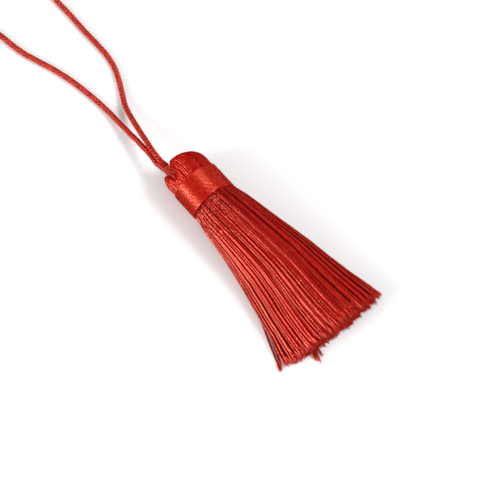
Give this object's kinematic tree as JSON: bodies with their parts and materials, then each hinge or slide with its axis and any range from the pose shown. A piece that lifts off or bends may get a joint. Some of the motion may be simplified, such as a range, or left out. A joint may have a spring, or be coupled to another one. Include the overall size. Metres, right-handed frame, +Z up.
{
  "type": "tassel with hanging loop",
  "caption": "Silky yarn tassel lying flat: lobed folded head, wound neck binding, spread cut skirt, and a doubled thin cord loop knotted into the head.",
  "frame": {"origin": "on the surface that the tassel lies on, under the middle of the box of head and skirt, without the cord and its knot", "axes": "+X along the tassel from the head to the cut end of the skirt, +Z up from the surface, +Y across the tassel; the cord leaves towards -X"},
  "size_m": [0.1245, 0.0277, 0.0111],
  "materials": {
    "yarn": "silky twisted rayon yarn, satin sheen",
    "binding": "silky thread wound tight, satin sheen",
    "cord": "fine braided cord, low sheen"
  },
  "bodies": {
    "root": {"yarn_bundle": "yarn", "neck_band": "binding", "cord_knot": "cord", "cord_loop": "cord"}
  },
  "joints": []
}
